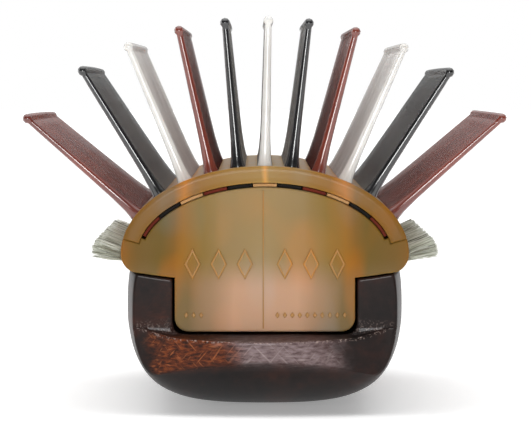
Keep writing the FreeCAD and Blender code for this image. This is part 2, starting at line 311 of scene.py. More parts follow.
def rounded_prism(outline, start, length, radius, steps=3, rows=1):
    """A closed outline of X and Z carried along Y, with both ends rounded over.

    An end's rounding is a quarter circle: the outline shrinks by r (1 - sin u) as it comes forward by
    r (1 - cos u). The shrinking moves each point along the bisector of its two edges. One more ring inside
    keeps the cap's shading flat.
    Returns the points, and the faces with one many-cornered cap at each end.
    """
    outline = np.asarray(outline, float)
    edges = np.roll(outline, -1, axis=0) - outline
    edges /= np.linalg.norm(edges, axis=1)[:, None]
    normals = np.stack([edges[:, 1], -edges[:, 0]], axis=-1)
    area = np.sum(outline[:, 0] * np.roll(outline[:, 1], -1) - np.roll(outline[:, 0], -1) * outline[:, 1])
    normals *= np.sign(area)
    bisector = normals + np.roll(normals, 1, axis=0)
    bisector /= np.linalg.norm(bisector, axis=1)[:, None]
    bisector /= np.maximum(np.sum(bisector * normals, axis=1), SHARPEST)[:, None]
    u = np.linspace(0, math.pi / 2, steps + 1)
    front = [(CAP_INSET * radius, 0.0)]
    front += [(radius * (1 - math.sin(a)), radius * (1 - math.cos(a))) for a in u]
    middle = [(0.0, radius + (length - 2 * radius) * k / rows) for k in range(1, rows)]
    back = [(shrink, length - y) for shrink, y in front[::-1]]
    layers = []
    for shrink, y in front + middle + back:
        flat = outline - shrink * bisector
        layers.append(np.stack([flat[:, 0], np.full(len(flat), start + y), flat[:, 1]], axis=-1))
    count = len(outline)
    faces = [list(f) for f in grid_faces(len(layers), count, closed_columns=True)]
    faces.append(list(range(count)))
    faces.append(list(range((len(layers) - 1) * count, len(layers) * count))[::-1])
    return np.array(layers).reshape(-1, 3), faces


def comb(number):
    """A strip that follows the slot, and the pins on it, in one mesh."""
    distance = (number - 1 - HALF_ROWS) * ROW_PITCH
    leans = lean_at(distance + np.linspace(-STRIP_WIDTH / 2, STRIP_WIDTH / 2, 9))
    upper = SKIN_THICK + (SLOT_THICK - STRIP_THICK) / 2
    outline = np.concatenate([arch(leans, upper), arch(leans[::-1], upper + STRIP_THICK)])
    strip, strip_faces = rounded_prism(
        outline, FRONT + STRIP_SET_BACK, CUSHION_LENGTH - 2 * STRIP_SET_BACK, STRIP_EDGE, steps=2
    )
    lean = float(lean_at(distance))
    front_off, rear_off = STANDS_OFF[number - 1]
    pins = pin_points(lean, lean + front_off + (rear_off - front_off) * np.linspace(0, 1, PINS) ** 2)
    faces = list(strip_faces)
    rings = len(PIN_PROFILE)
    for k in range(PINS):
        start = len(strip) + k * rings * PIN_SIDES
        faces += [list(f) for f in grid_faces(rings, PIN_SIDES, closed_columns=True, start=start)]
    shade = ROW_COLOURS[number - 1]
    points = np.concatenate([strip, pins.reshape(-1, 3)])
    hidden = np.arange(len(points)) < len(strip)
    piece = add_piece(
        f"comb_{number:02d}", points, faces, f"row_{number:02d}", NYLONS[shade],
        attributes={"hidden": hidden},
    )
    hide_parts(f"pin_row_{number:02d}")


# %% All eleven combs
for number in range(1, ROWS + 1):
    comb(number)

# %% [markdown]
# ## Amber elastomer
#
# The cushion is moulded from a soft, see-through amber elastomer. Light goes in, scatters and comes out
# elsewhere, so it glows at its edges and looks deep olive where it is thick. The mould's polish leaves a
# satin surface. True refraction through so thick a piece would be slow and grainy. Subsurface scattering
# gives the softness instead, and the colour carries painted light: slow drifts of painted glow and shade
# stand for the light inside, the ramps paint orange glows and darker olive, and the tongue turns paler in a
# painted sheen.

# %% Amber material
RAMP_SPAN = 24.0                      # the ramps of colour run from the middle to this far on either side
PALE_FROM, PALE_TO = SEAT_Z + 4.5, SEAT_Z - 1.5


def amber(name, across, low_centre, low_side, roughness, gloss, polish=0.0):
    """Amber elastomer: its colours, painted glow and shade of the light inside, follow the distance from the
    middle, and turn paler down the tongue in a painted sheen.
    """
    material, tree, shader = new_material(name)
    place = node(tree, "TexCoord").outputs["Object"]
    split = node(tree, "SeparateXYZ", links={"Vector": place})
    # the light inside falls in upright bands, so the patterns are drawn out three times as tall
    tall = node(tree, "Mapping", inputs={"Scale": (1.0, 1.0, 0.33)}, links={"Vector": place})
    waver = node(tree, "TexNoise", inputs={"Scale": 1 / (5 * MM), "Detail": 1.0}, links={"Vector": tall})
    shift = node(tree, "MapRange", inputs={"To Min": -1.5 * MM, "To Max": 1.5 * MM}, links={"Value": waver})
    moved = node(tree, "Math", {"operation": "ADD"}, links={0: split.outputs["X"], 1: shift})
    off_middle = node(tree, "Math", {"operation": "ABSOLUTE"}, links={0: moved})
    share = node(tree, "MapRange", inputs={"From Max": RAMP_SPAN * MM}, links={"Value": off_middle})
    body = node(tree, "ValToRGB", links={"Fac": share}, stops=across)
    low = node(tree, "ValToRGB", links={"Fac": share}, stops=[(0.22, low_centre), (0.5, low_side)])
    depth = node(tree, "MapRange", {"interpolation_type": "SMOOTHSTEP"},
                 {"From Min": PALE_FROM * MM, "From Max": PALE_TO * MM}, {"Value": split.outputs["Z"]})
    mixed = node(tree, "Mix", {"data_type": "RGBA"}, links={"Factor": depth, "A": body, "B": low})
    # painted lights and shadows of the light inside the elastomer, some 6 mm across and 18 mm tall
    glow_noise = node(tree, "TexNoise", inputs={"Scale": 1 / (6 * MM), "Detail": 0.5}, links={"Vector": tall})
    painted_glow = node(tree, "ValToRGB", links={"Fac": glow_noise},
                  stops=[(0.34, "#7a7f74"), (0.46, "#856a40"), (0.56, "#856531"), (0.66, "#bb6e0b")])
    with_glow = node(tree, "Mix", {"data_type": "RGBA"}, {"Factor": 0.3}, {"A": mixed, "B": painted_glow})
    # mould lines every 0.6 mm, broken up by a haze
    lines = node(tree, "TexWave", {"bands_direction": "Z"},
                 {"Scale": math.pi / (10 * 0.6 * MM), "Distortion": 0.6, "Detail": 1.0}, {"Vector": place})
    haze = node(tree, "TexNoise", inputs={"Scale": 1 / (2.2 * MM), "Detail": 3.0}, links={"Vector": place})
    relief = node(tree, "Math", {"operation": "MULTIPLY"}, links={0: lines, 1: haze})
    bump = node(tree, "Bump", inputs={"Strength": 0.12, "Distance": 0.02 * MM}, links={"Height": relief})
    wire(tree, shader, {
        "Roughness": roughness, "IOR": 1.5, "Specular IOR Level": gloss,
        "Coat Weight": polish, "Coat Roughness": 0.1,
        "Subsurface Weight": 0.25, "Subsurface Radius": (1.0, 0.5, 0.15), "Subsurface Scale": 1.5 * MM,
    }, {"Base Color": with_glow, "Normal": bump})
    return material


# places on the ramps are shares of their span, from the middle of the cushion outwards
# painted light: on both ramps the pale and orange stops paint the glow of light through the elastomer, and
# the dark olive stops paint its shade where it is thick
OLIVE_TO_TAN = [
    (0.0, "#a58d63"), (0.28, "#9b845b"), (0.42, "#8b7035"), (0.53, "#9c6714"), (0.6, "#7e5614"),
    (0.7, "#614f18"), (0.86, "#694e1a"), (1.0, "#89571e"),
]
GLOWING_BAND = [
    (0.0, "#e5a85b"), (0.03, "#a48248"), (0.28, "#997235"), (0.45, "#91611e"), (0.525, "#c67604"),
    (0.6, "#875a16"), (0.85, "#7a5216"), (1.0, "#76501a"),
]
# painted glow: the marks are a brighter orange amber than the core, standing for light glowing at their
# raised edges
MARK_GLOW_AMBER = [(0.0, "#ac741a"), (1.0, "#ac701a")]
# painted sheen: the core's pale pink low middle stands for a sheen on the tongue
AMBER_CORE = amber("Amber elastomer core", OLIVE_TO_TAN, "#d4a88c", "#786544", 0.4, 0.08)
AMBER_SKIN = amber("Amber elastomer skin", GLOWING_BAND, "#997235", "#7a5216", 0.35, 0.1, polish=0.07)
AMBER_MARKS = amber("Amber elastomer marks", MARK_GLOW_AMBER, "#b37a2d", "#996b26", 0.3, 0.3)

# %% [markdown]
# ## The core
#
# In section the core is a D lying on its flat: a slot floor under the skin, shoulders that the skin rests
# on, round lobes at both sides, and a tongue below that sits in the wood's channel. The outline is drawn
# once, as arcs worked out from the same numbers as the CAD, and carried along the brush. Solids joined by
# booleans would give the same shape with worse faces.

# %% The core's outline
SKIN_EDGE = 74.0
SLOT_EDGE = 66.0
LOBE_RADIUS = 3.16
SEAT_RADIUS = 132.0
TONGUE_HALF = 14.45
TONGUE_RADIUS = 2.2
CORE_EDGE = 0.3                       # radius of the rounding at the core's ends


def underside(x):
    """Height of the cushion's underside: a shallow circular arc."""
    return SEAT_Z + SEAT_RADIUS - np.sqrt(SEAT_RADIUS**2 - np.asarray(x, float) ** 2)


def core_half():
    """The right half of the outline, from the slot's end down to the middle of the tongue's foot."""
    shoulder = arch(np.linspace(SLOT_EDGE, SKIN_EDGE, 3), SKIN_THICK)
    flank = arch(np.linspace(SKIN_EDGE, 90, 6), 0.0)
    centre = ARCH_A - LOBE_RADIUS
    turn = np.linspace(0, math.pi / 2 + math.asin(centre / SEAT_RADIUS), 14)[1:]
    lobe = np.stack([centre + LOBE_RADIUS * np.cos(turn), ARCH_Z - LOBE_RADIUS * np.sin(turn)], -1)
    lobe[:, 1] = np.maximum(lobe[:, 1], underside(lobe[:, 0]))
    x = np.linspace(lobe[-1, 0], TONGUE_HALF, 5)[1:]
    bottom = np.stack([x, underside(x)], -1)
    foot = SEAT_Z - TONGUE_DEPTH
    turn = np.linspace(0, math.pi / 2, 8)
    corner = np.stack(
        [TONGUE_HALF - TONGUE_RADIUS * (1 - np.cos(turn)), foot + TONGUE_RADIUS * (1 - np.sin(turn))], -1
    )
    side_z = np.linspace(bottom[-1, 1], corner[0, 1], 4)[1:-1]
    side = np.stack([np.full(len(side_z), TONGUE_HALF), side_z], -1)
    return np.concatenate([shoulder, flank, lobe, bottom, side, corner])


right = core_half()
left = right[::-1] * [-1, 1]
slot_floor = arch(np.linspace(-SLOT_EDGE, SLOT_EDGE, 61), SKIN_THICK + SLOT_THICK)
core_outline = np.concatenate([slot_floor, right, left])
core_wide, core_tall = np.ptp(core_outline, axis=0)
print(f"core outline: {len(core_outline)} points, {core_wide:.1f} by {core_tall:.1f} mm")

# %% The core
points, faces = rounded_prism(core_outline, FRONT, CUSHION_LENGTH, CORE_EDGE, rows=12)
core = add_piece("cushion_core_amber", points, faces, "cushion", AMBER_CORE)
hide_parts("cushion_core")

# %% [markdown]
# ## The skin
#
# The skin is a sheet bent over the arch, pierced by a round hole for every pin. It is easiest to draw flat.
# One tile holds one hole: a square ring of points outside and a round one inside. Tiles side by side make
# the pierced sheet, plain strips fill out its edges, and one function then bends the whole sheet over the
# arch.

# %% The pierced sheet
HOLE_RADIUS = 1.5
HOLE_SIDES = 16
HOLE_MARGIN = 0.45
HALF_TILE = PIN_PITCH / 2
around = np.arange(HOLE_SIDES) * 2 * math.pi / HOLE_SIDES
square = np.stack([np.cos(around), np.sin(around)], -1)
square /= np.abs(square).max(axis=1)[:, None]        # the same directions, pushed out to a square's edge


def bent(lean, y, depth):
    """A point in space from a place on the sheet: the lean of the arch there, its Y and its depth."""
    flat = arch(lean, depth)
    return np.stack(np.broadcast_arrays(flat[..., 0], y, flat[..., 1]), axis=-1)


def hole_ring(row, radius, depth):
    """Points where a round shaft, square to the arch at this row, comes through the sheet at a depth."""
    turn = np.radians(row_leans[row])
    nearby = row_leans[row] + np.linspace(-14, 14, 281)     # degrees: further than any hole reaches
    offset = (arch(nearby, depth) - arch(row_leans[row], depth)) @ np.array([np.cos(turn), -np.sin(turn)])
    return np.interp(radius * np.cos(around), offset, nearby), radius * np.sin(around)


def tile_rings(row):
    """Lean, Y and depth of one tile's rings: in over the top, down through the hole, and out below."""
    edge_lean = lean_at((row - HALF_ROWS + square[:, 0] / 2) * ROW_PITCH)
    edge_y = square[:, 1] * HALF_TILE
    rings = []
    for depth in (0.0, SKIN_THICK):
        near_lean, near_y = hole_ring(row, HOLE_RADIUS + HOLE_MARGIN, depth)
        hole_lean, hole_y = hole_ring(row, HOLE_RADIUS, depth)
        side = [(edge_lean, edge_y, depth), (near_lean, near_y, depth), (hole_lean, hole_y, depth)]
        rings += side if depth == 0 else side[::-1]
    return rings


def skin_mesh():
    """The plain part of the sheet on both sides, its edges, and one tile for every pin."""
    corner = np.array([-1.0, -math.tan(math.pi / 8), 0.0, math.tan(math.pi / 8)]) / 2
    rows_out = np.arange(-HALF_ROWS, HALF_ROWS + 1)[:, None] + corner
    inner = lean_at(np.append(rows_out, ROWS / 2) * ROW_PITCH)
    side = np.linspace(SKIN_EDGE, inner[-1], 7)[:-1]
    leans = np.concatenate([-side, inner, side[::-1]])
    pins_back = np.arange(PINS)[:, None] + corner
    tile_y = np.append(pins_back, PINS - 0.5) * PIN_PITCH + FIRST_PIN
    margin = np.linspace(0, 1, 4)[:-1]
    front = FRONT + margin * (tile_y[0] - FRONT)
    back = 2 * FRONT + CUSHION_LENGTH - front[::-1]
    ys = np.concatenate([front, tile_y, back])
    lean_grid, y_grid = np.meshgrid(leans, ys)
    rows, columns = lean_grid.shape
    sheet = grid_faces(rows, columns)
    i, j = sheet[:, 0] // columns, sheet[:, 0] % columns
    pierced = (i >= len(front)) & (i < rows - 1 - len(back))
    pierced &= (j >= len(side)) & (j < columns - 1 - len(side))
    sheet = sheet[~pierced]
    depths = np.linspace(0, SKIN_THICK, 4)
    points = [bent(lean_grid, y_grid, depth).reshape(-1, 3) for depth in (0.0, SKIN_THICK)]
    faces = [sheet, sheet[:, ::-1] + rows * columns]
    start = 2 * rows * columns
    side_points = np.ones(rows - 2)
    loop_lean = np.concatenate([leans, side_points * leans[-1], leans[::-1], side_points * leans[0]])
    loop_y = np.concatenate([np.full(columns, ys[0]), ys[1:-1], np.full(columns, ys[-1]), ys[-2:0:-1]])
    wall = bent(loop_lean, loop_y, depths[:, None])
    points.append(wall.reshape(-1, 3))
    faces.append(grid_faces(len(depths), len(loop_lean), closed_columns=True, start=start))
    start += wall.shape[0] * wall.shape[1]
    for row in range(ROWS):
        for pin in range(PINS):
            y = FIRST_PIN + pin * PIN_PITCH
            rings = np.stack([bent(lean, y + dy, depth) for lean, dy, depth in tile_rings(row)])
            points.append(rings.reshape(-1, 3))
            faces.append(grid_faces(len(rings), HOLE_SIDES, closed_columns=True, start=start))
            start += rings.shape[0] * rings.shape[1]
    return np.concatenate(points), np.concatenate(faces)


# %% The skin
points, faces = skin_mesh()
skin = add_piece("cushion_skin_amber", points, faces, "cushion", AMBER_SKIN)
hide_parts("cushion_skin")
bevel = skin.modifiers.new("Soft edges", "BEVEL")
bevel.width = 0.22 * MM
bevel.segments = 2
bevel.limit_method = "ANGLE"
bevel.angle_limit = math.radians(50)

# %% [markdown]
# ## Raised marks
#
# The face of the core carries raised marks from its mould. Plain lozenges, three on each side of the parting
# line and a row of very small ones under them, give the face the same relief without saying anything. A bump
# pattern would be quicker, but real edges catch the light from every side.

# %% Lozenges and the parting line
def lozenge(x, z, size):
    """An outline with five points to a side, from its middle and its half width and half height."""
    half_width, half_height = size
    corners = np.array([(half_width, 0), (0, half_height), (-half_width, 0), (0, -half_height)], float)
    share = np.linspace(0, 1, 5)[:-1, None]
    outline = corners[:, None] * (1 - share) + np.roll(corners, -1, 0)[:, None] * share
    return outline.reshape(-1, 2) + (x, z)


MARK_SUNK = 0.3                       # how deep a mark is let into the core


def raised(name, marks, material):
    """One mesh of marks: each is an outline, how far it stands proud, and how round its edge is."""
    all_points, all_faces, count = [], [], 0
    for outline, proud, radius in marks:
        points, faces = rounded_prism(outline, FRONT - proud, proud + MARK_SUNK, radius)
        all_points.append(points)
        all_faces += [[corner + count for corner in f] for f in faces]
        count += len(points)
    add_piece(name, np.concatenate(all_points), all_faces, "cushion", material)


MARK_PLACES = (-11.6, -7.4, -3.2, 3.2, 7.4, 11.6)
MARK_Z = SEAT_Z + 3.0
MARK_SIZE, FIELD_SIZE = (1.3, 2.5), (0.95, 1.9)
SMALL_PLACES = (-12.6, -11.4, -10.2, *np.arange(2.0, 13.0, 1.2))
SMALL_Z = SEAT_Z - 5.2
SMALL_SIZE = (0.34, 0.5)
SEAM_LEFT, SEAM_RIGHT = -0.36, -0.14
SEAM_LOW, SEAM_HIGH = core_low[2] + 0.5, ARCH_Z + 10.2
seam = np.array([
    (SEAM_LEFT, SEAM_LOW), (SEAM_RIGHT, SEAM_LOW), (SEAM_RIGHT, SEAM_HIGH), (SEAM_LEFT, SEAM_HIGH),
])
marks = [(lozenge(x, MARK_Z, MARK_SIZE), 0.2, 0.1) for x in MARK_PLACES]
marks += [(lozenge(x, SMALL_Z, SMALL_SIZE), 0.2, 0.08) for x in SMALL_PLACES]
fields = [(lozenge(x, MARK_Z, FIELD_SIZE), 0.24, 0.06) for x in MARK_PLACES]
raised("core_marks", [*marks, (seam, 0.08, 0.05)], AMBER_MARKS)
raised("core_mark_fields", fields, AMBER_CORE)

# %% [markdown]
# ## Bristle
#
# The tufts are natural bristle, folded over a flat of wire and pressed into holes. The hairs are a sixth of
# a millimetre thick, pale, stiff and a little unruly, and no two are the same tone. Hair curves would be
# Blender's usual way, but an exported model is made of meshes, so each hair is a three-sided spike. It has
# only fourteen faces, because there are thousands. One number for each point carries its tone, and the
# painted shade that darkens the hairs towards their roots, to the material.

# %% Bristle material
def bristle_material():
    material, tree, shader = new_material("Boar bristle")
    tone_and_shade = node(tree, "Attribute", {"attribute_name": "tone_and_shade"}).outputs["Fac"]
    tint = node(tree, "ValToRGB", links={"Fac": tone_and_shade},
                stops=[(0.0, "#474338"), (0.3, "#878570"), (0.5, "#c0c3ae"), (1.0, "#eeefe5")])
    place = node(tree, "TexCoord").outputs["Object"]
    flecks = node(tree, "TexNoise", inputs={"Scale": 1 / (0.5 * MM), "Detail": 3.0}, links={"Vector": place})
    bump = node(tree, "Bump", inputs={"Strength": 0.3, "Distance": 0.01 * MM}, links={"Height": flecks})
    wire(tree, shader, {
        "Roughness": 0.45, "IOR": 1.55, "Sheen Weight": 0.2,
    }, {"Base Color": tint, "Normal": bump})
    return material


BRISTLE = bristle_material()

# %% Tufts
TUFTS = 17
TUFT_PITCH = 5.5
TUFT_LEAN = 75.0
TUFT_EXIT = SEAT_Z + 4.4
ROOT_DISC = 0.98                      # radius of the tuft where it leaves its hole
SPLAY = 1.62                          # how many times wider the tuft is at its tips
TIP_LIMIT = 1.62                      # the furthest that a tip strays from the tuft's line
HAIRS = 110
HAIR_RADIUS = 0.085
HAIR_TAPER = np.array([1.0, 1.0, 0.95, 0.85, 0.55])
HAIR_STEPS = len(HAIR_TAPER)
HAIR_LENGTH = 4.95
HAIR_SUNK = 0.6
SHORTER_OUTSIDE, SHORTER_BY_CHANCE = 0.55, 0.5
STRAY, BEND = 0.24, 0.10              # spread of the tips and of the hairs' bends
TONE, TONE_SPREAD = 0.7, 0.3
rng = np.random.default_rng(7)


def tuft_row(side):
    """Every hair of one side at once: root in a disc, tip in a wider disc, and a slight bend between."""
    lean = math.radians(TUFT_LEAN)
    out = np.array([math.sin(lean), 0.0, math.cos(lean)])
    up = np.array([-math.cos(lean), 0.0, math.sin(lean)])
    along = np.array([0.0, 1.0, 0.0])
    rise = (TUFT_EXIT - ARCH_Z) / ARCH_B
    exit_x = ARCH_A * math.sqrt(1 - rise**2)
    ys = FRONT + (CUSHION_LENGTH - (TUFTS - 1) * TUFT_PITCH) / 2 + np.arange(TUFTS) * TUFT_PITCH
    exits = np.stack([np.full(TUFTS, exit_x), ys, np.full(TUFTS, TUFT_EXIT)], -1)
    shape = (TUFTS, HAIRS, 1)
    disc = np.sqrt(rng.random(shape))
    turn = rng.random(shape) * 2 * math.pi
    spread = rng.normal(0, STRAY, (TUFTS, HAIRS, 2))
    root = np.concatenate([np.cos(turn), np.sin(turn)], -1) * disc * ROOT_DISC
    tip = np.clip(root * SPLAY + spread, -TIP_LIMIT, TIP_LIMIT)
    length = HAIR_LENGTH - SHORTER_OUTSIDE * disc**2 - SHORTER_BY_CHANCE * rng.random(shape) ** 3
    bend = rng.normal(0, BEND, (TUFTS, HAIRS, 2))
    t = np.linspace(0, 1, HAIR_STEPS)[:, None]
    wander = bend[:, :, None, :] * 4 * t * (1 - t)
    flat = root[:, :, None, :] * (1 - t) + tip[:, :, None, :] * t + wander
    height = -HAIR_SUNK + (length[:, :, None, :] + HAIR_SUNK) * t
    line = exits[:, None, None, :] + height * out + flat[..., :1] * up + flat[..., 1:] * along
    corner = np.arange(3) * 2 * math.pi / 3
    ring = np.cos(corner)[:, None] * up + np.sin(corner)[:, None] * along
    points = line[..., None, :] + (HAIR_RADIUS * HAIR_TAPER)[:, None, None] * ring
    # painted shade: each hair is drawn darker towards its root, where the tuft is crowded and in shade
    painted_root_shade = (0.55 + 0.45 * t) ** 0.6                  # hairs are darker at their roots
    tone_and_shade = np.clip(rng.normal(TONE, TONE_SPREAD, shape), 0, 1)[..., None] * painted_root_shade
    return points * [side, 1, 1], np.broadcast_to(tone_and_shade, points.shape[:4])


def hair_faces(count):
    """Three sides between the rings, and a three-cornered cap at each end."""
    faces = []
    band = grid_faces(HAIR_STEPS, 3, closed_columns=True)
    starts = np.arange(count) * HAIR_STEPS * 3
    faces += (band[None] + starts[:, None, None]).reshape(-1, 4).tolist()
    tip = (HAIR_STEPS - 1) * 3
    faces += (np.array([0, 2, 1]) + starts[:, None]).tolist()
    faces += (np.array([tip, tip + 1, tip + 2]) + starts[:, None]).tolist()
    return faces


for side, word in ((1, "right"), (-1, "left")):
    points, tone_and_shade = tuft_row(side)
    tufts = add_piece(f"bristle_{word}", points, hair_faces(TUFTS * HAIRS), "cushion", BRISTLE,
                      merge=0.0001, attributes={"tone_and_shade": tone_and_shade})
    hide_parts(*[f"tuft_{word}_{number:02d}" for number in range(1, TUFTS + 1)])

# %% [markdown]
# ## Wood
#
# The body is shaped from one block, stained nearly black-brown, and lacquered so thinly that it keeps a soft
# gloss. Grain runs along the brush. The nose was sanded after staining, so its end grain is warmer and
# lighter, with pores and crossing sanding scratches. Patterns in space suit wood well, because the same
# grain runs through every face. Two attributes steer them: "raw" says how bare a place is, and "worn" marks
# sharp edges where the lacquer has chipped to pale wood. The finish is built up in four short steps.

# %% Stained grain
def stained_grain(tree, place):
    """The stained wood's colour, and the height of its grain."""
    # grain lines up to 1.6 mm apart across the brush, with finer ones between, run some 40 mm along it
    stretched = node(tree, "Mapping", inputs={"Scale": (1.0, 0.04, 1.0)}, links={"Vector": place})
    grain = node(tree, "TexNoise", inputs={"Scale": 1 / (1.6 * MM), "Detail": 5.0, "Roughness": 0.65},
                 links={"Vector": stretched})
    # darker and redder streaks, some 12 mm wide and four times as long
    flowing = node(tree, "Mapping", inputs={"Scale": (1.0, 0.25, 1.0)}, links={"Vector": place})
    streaks = node(tree, "TexNoise", inputs={"Scale": 1 / (12 * MM), "Detail": 3.0},
                   links={"Vector": flowing})
    dark = node(tree, "ValToRGB", links={"Fac": grain},
                stops=[(0.3, "#110e0d"), (0.5, "#1c1615"), (0.7, "#2e1b16")])
    warm = node(tree, "ValToRGB", links={"Fac": streaks},
                stops=[(0.4, "#161111"), (0.55, "#2a1a16"), (0.7, "#5c2b1a")])
    return node(tree, "Mix", {"data_type": "RGBA"}, {"Factor": 0.4}, {"A": dark, "B": warm}), grain


# %% The bare patch
# X where each fade starts and ends: the patch's left edge, its right edge, and the orange on its left
BARE_FADES = ((-20, -15), (14.5, 6.5), (-3, -8))
WAVER = 5.0                           # how far the edges wander to either side


def bare_patch(tree, place):
    """How bare and how orange each place is, from the middle of the nose outwards, with wandering edges."""
    split = node(tree, "SeparateXYZ", links={"Vector": place})
    waver = node(tree, "TexNoise", inputs={"Scale": 1 / (5 * MM), "Detail": 2.0}, links={"Vector": place})
    shift = node(tree, "MapRange", inputs={"To Min": -WAVER * MM, "To Max": WAVER * MM},
                 links={"Value": waver})
    moved = node(tree, "Math", {"operation": "ADD"}, links={0: split.outputs["X"], 1: shift})
    left, right, orange = [
        node(tree, "MapRange", {"interpolation_type": "SMOOTHSTEP"},
             {"From Min": start * MM, "From Max": end * MM}, {"Value": moved})
        for start, end in BARE_FADES
    ]
    raw = node(tree, "Attribute", {"attribute_name": "raw"}).outputs["Fac"]
    inner = node(tree, "Math", {"operation": "MULTIPLY"}, links={0: left, 1: right})
    return node(tree, "Math", {"operation": "MULTIPLY"}, links={0: inner, 1: raw}), orange


# %% End grain and scratches
SCRATCH_LEANS = (45, -40, 92)         # degrees from upright: two families cross, and one lies level
SCRATCH_STRENGTH = 0.55


def end_grain(tree, place, orange):
    """The sanded nose's colour: pores in level rows, orange to the left, and elsewhere a dusky grey-brown
    that paints the lamp's sheen on the tilted face over the end grain.
    """
    # the pores are 0.4 mm tall and three times as wide, with finer ones between
    level = node(tree, "Mapping", inputs={"Scale": (0.3, 1.0, 1.0)}, links={"Vector": place})
    pores = node(tree, "TexNoise", inputs={"Scale": 1 / (0.4 * MM), "Detail": 4.0, "Roughness": 0.6},
                 links={"Vector": level})
    left = node(tree, "ValToRGB", links={"Fac": pores},
                stops=[(0.36, "#30170d"), (0.52, "#5d2c17"), (0.7, "#86431d")])
    # painted sheen: this greyish ramp stands for light glancing off the tilted end grain
    right = node(tree, "ValToRGB", links={"Fac": pores},
                 stops=[(0.3, "#523f3f"), (0.5, "#776565"), (0.7, "#8a797a")])
    return node(tree, "Mix", {"data_type": "RGBA"}, links={"Factor": orange, "A": right, "B": left})


def sanding_scratches(tree, place):
    """Where the scratches are: thin lines under half a millimetre wide and some 13 mm long."""
    families = []
    for lean in SCRATCH_LEANS:
        turned = node(tree, "Mapping", inputs={"Rotation": (0, math.radians(lean), 0)},
                      links={"Vector": place})
        drawn = node(tree, "Mapping", inputs={"Scale": (1.0, 1.0, 0.035)}, links={"Vector": turned})
        lines = node(tree, "TexNoise", inputs={"Scale": 1 / (0.45 * MM), "Detail": 1.0},
                     links={"Vector": drawn})
        families.append(
            node(tree, "MapRange", inputs={"From Min": 0.63, "From Max": 0.76}, links={"Value": lines})
        )
    crossed = node(tree, "Math", {"operation": "MAXIMUM"}, links={0: families[0], 1: families[1]})
    return node(tree, "Math", {"operation": "MAXIMUM"}, links={0: crossed, 1: families[2]})


# %% Wood material
def wood_material():
    """Lays the four finishes over each other: stained wood, bare end grain, scratches and chips."""
    material, tree, shader = new_material("Stained and lacquered hardwood")
    place = node(tree, "TexCoord").outputs["Object"]
    tinted, grain = stained_grain(tree, place)
    bareness, orange = bare_patch(tree, place)
    end = end_grain(tree, place, orange)
    scratches = sanding_scratches(tree, place)
    light = node(tree, "Mix", {"data_type": "RGBA"}, {"A": colour("#a89896"), "B": colour("#b8683a")},
                 {"Factor": orange})
    strength = node(tree, "Math", {"operation": "MULTIPLY"}, {1: SCRATCH_STRENGTH}, {0: scratches})
    scratched = node(tree, "Mix", {"data_type": "RGBA"}, links={"Factor": strength, "A": end, "B": light})
    bare = node(tree, "Mix", {"data_type": "RGBA"}, links={"Factor": bareness, "A": tinted, "B": scratched})
    # chips along the worn edges, under half a millimetre across
    worn = node(tree, "Attribute", {"attribute_name": "worn"}).outputs["Fac"]
    specks = node(tree, "TexNoise", inputs={"Scale": 1 / (0.35 * MM), "Detail": 2.0},
                  links={"Vector": place})
    chips = node(tree, "MapRange", inputs={"From Min": 0.52, "From Max": 0.66}, links={"Value": specks})
    chipped = node(tree, "Math", {"operation": "MULTIPLY"}, links={0: chips, 1: worn})
    surface = node(tree, "Mix", {"data_type": "RGBA"}, {"B": colour("#c4aea4")},
                   {"Factor": chipped, "A": bare})
    height = node(tree, "Math", {"operation": "MULTIPLY_ADD"}, links={0: scratches, 1: bareness, 2: grain})
    bump = node(tree, "Bump", inputs={"Strength": 0.25, "Distance": 0.05 * MM}, links={"Height": height})
    wire(tree, shader, {
        "Roughness": 0.5, "IOR": 1.5, "Specular IOR Level": 0.08,
        "Coat Weight": 0.15, "Coat Roughness": 0.08,
    }, {"Base Color": surface, "Normal": bump})
    return material


WOOD = wood_material()

# %% [markdown]
# ## The wooden body
#
# A control cage of four-cornered faces and a subdivision surface give soft, sanded shapes, with tight lines
# of points where an edge should stay crisp. The section is a superellipse with the seat and the channel let
# into its top. Behind the cushion the section closes up again, and it runs on into the handle.

# %% The body's sections
NOSE = wood_low[1]
LENGTH = wood_high[1] - wood_low[1]
SEAT_GAP = 0.2
CHANNEL_HALF = 14.8
FLOOR_Z = SEAT_Z - 8.3
HORN = FRONT - NOSE + 0.2             # station of the flat faces beside the channel's mouth
REAR = FRONT - NOSE + CUSHION_LENGTH + 0.3
NOSE_RADIUS = 47.0
LEDGE_DROP = 1.15
LEDGE_SIDE_SLOPE = 0.2
BOW_END, BOW_RISE = 28.0, 8.7
TURN_RISE, TURN_REACH = 0.25, 0.6     # how much the turn from bow to flank is filled out, and how far
HEAD_POWER, POWER_LOST = 2.6, 0.45    # of the superellipse: the handle is rounder than the head
NECK, NECK_LENGTH = 92.0, 46.0        # where the one passes into the other
NOSE_TAPER = 0.03                     # share of its width that the nose loses from the horns forward
# station, half width, bottom and top
BLANK = np.array([
    (0, 20.4, -0.1, 33.0), (4, 21.2, -0.15, 33.8), (10, 22.0, -0.15, 34.4), (22, 22.6, -0.15, 34.8),
    (55, 22.9, -0.15, 35.0), (84, 22.6, -0.1, 34.5), (98, 21.4, 0.5, 33.2), (113, 16.8, 2.8, 29.8),
    (132, 12.4, 5.0, 26.8), (156, 12.0, 4.8, 25.6), (182, 14.0, 1.8, 25.8), (202, 14.6, -0.12, 25.2),
])


